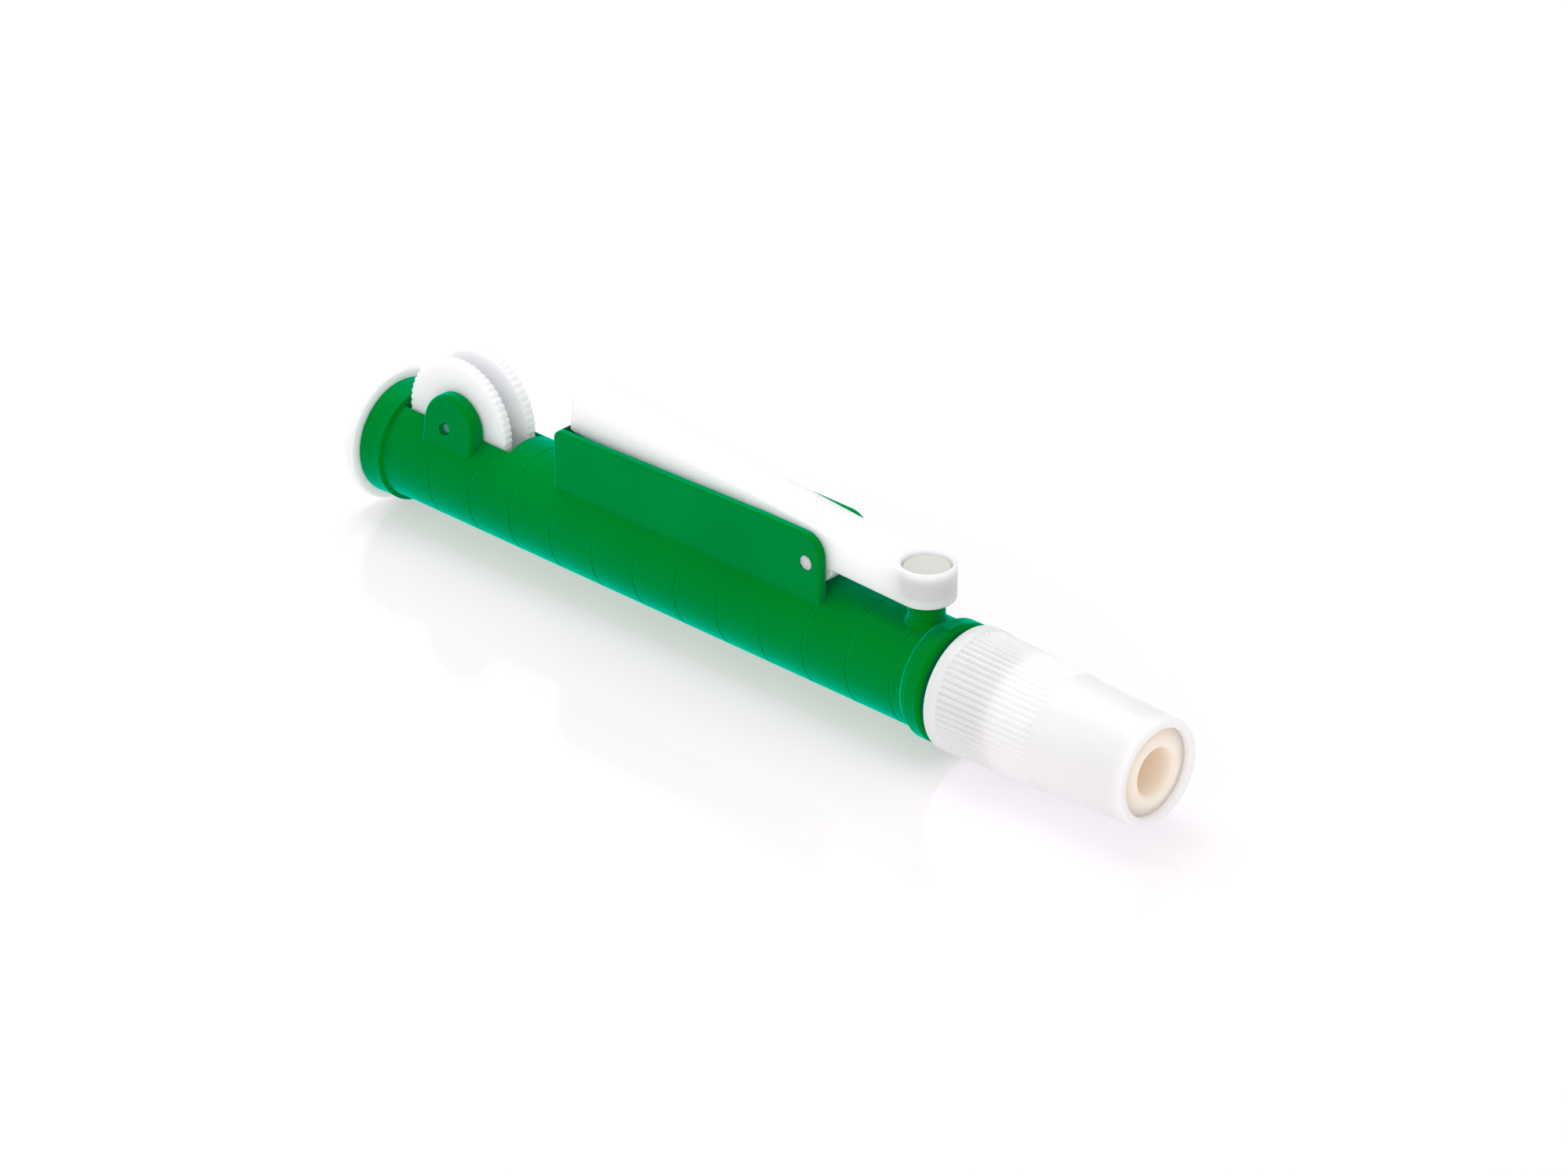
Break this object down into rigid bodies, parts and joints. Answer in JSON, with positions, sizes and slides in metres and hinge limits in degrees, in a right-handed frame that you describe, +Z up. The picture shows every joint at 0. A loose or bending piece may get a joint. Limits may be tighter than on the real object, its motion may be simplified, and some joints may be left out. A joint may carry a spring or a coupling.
{
  "type": "pipette pump",
  "caption": "Thumbwheel pipette filler: a rack-driven plunger in a barrel, a sprung release lever over an air valve, and a ribbed screw-on nose with a soft tapered socket.",
  "frame": {"origin": "on the ground plane under the middle of the pump as it lies with its wheel and lever up", "axes": "+X along the barrel towards the nose, +Z up towards the thumbwheel and lever, Y along the wheel's axle"},
  "size_m": [0.2202, 0.0298, 0.0463],
  "materials": {
    "green_plastic": "satin, slightly translucent",
    "white_plastic": "satin, slightly translucent",
    "pin_plastic": "matt",
    "steel": "bright",
    "dark_rubber": "matt",
    "grey_rubber": "matt",
    "silicone": "matt, translucent"
  },
  "bodies": {
    "barrel_body": {"barrel": "green_plastic", "lever_pivot_pin": "pin_plastic", "lever_return_spring": "steel"},
    "wheel": {"thumbwheel_near": "white_plastic", "thumbwheel_far": "white_plastic", "drive_pinion": "white_plastic", "wheel_axle": "steel"},
    "plunger": {"plunger_rod": "white_plastic", "plunger_cap": "white_plastic", "piston_head": "white_plastic", "piston_seal": "dark_rubber"},
    "lever": {"release_lever": "white_plastic", "vent_valve_plug": "grey_rubber"},
    "nose_insert": {"chuck_insert": "silicone"},
    "nose": {"chuck": "white_plastic"}
  },
  "joints": [
    {"name": "wheel_turn", "type": "hinge", "parent": "barrel_body", "child": "wheel", "pos_m": [-0.08465, 0, 0.0268], "axis": [0, 1, 0], "range_deg": [0, 917]},
    {"name": "plunger_draw", "type": "slide", "parent": "barrel_body", "child": "plunger", "axis": [-1, 0, 0], "range_m": [0, 0.096]},
    {"name": "lever_press", "type": "hinge", "parent": "barrel_body", "child": "lever", "pos_m": [0.02025, 0, 0.0326], "axis": [0, -1, 0], "range_deg": [0, 6], "stiffness_Nm_per_rad": 0.8, "springref_deg": -6.88, "deforming": ["lever_return_spring"]},
    {"name": "nose_advance", "type": "slide", "parent": "barrel_body", "child": "nose_insert", "axis": [1, 0, 0], "range_m": [0, 0.008]},
    {"name": "nose_screw", "type": "hinge", "parent": "nose_insert", "child": "nose", "pos_m": [0, 0, 0.0149], "axis": [1, 0, 0], "range_deg": [0, 720]}
  ],
  "couplings": [
    {"joint": "wheel_turn", "follows": "plunger_draw", "rad_per_m": 166.67},
    {"joint": "nose_screw", "follows": "nose_advance", "rad_per_m": 1570.8}
  ]
}
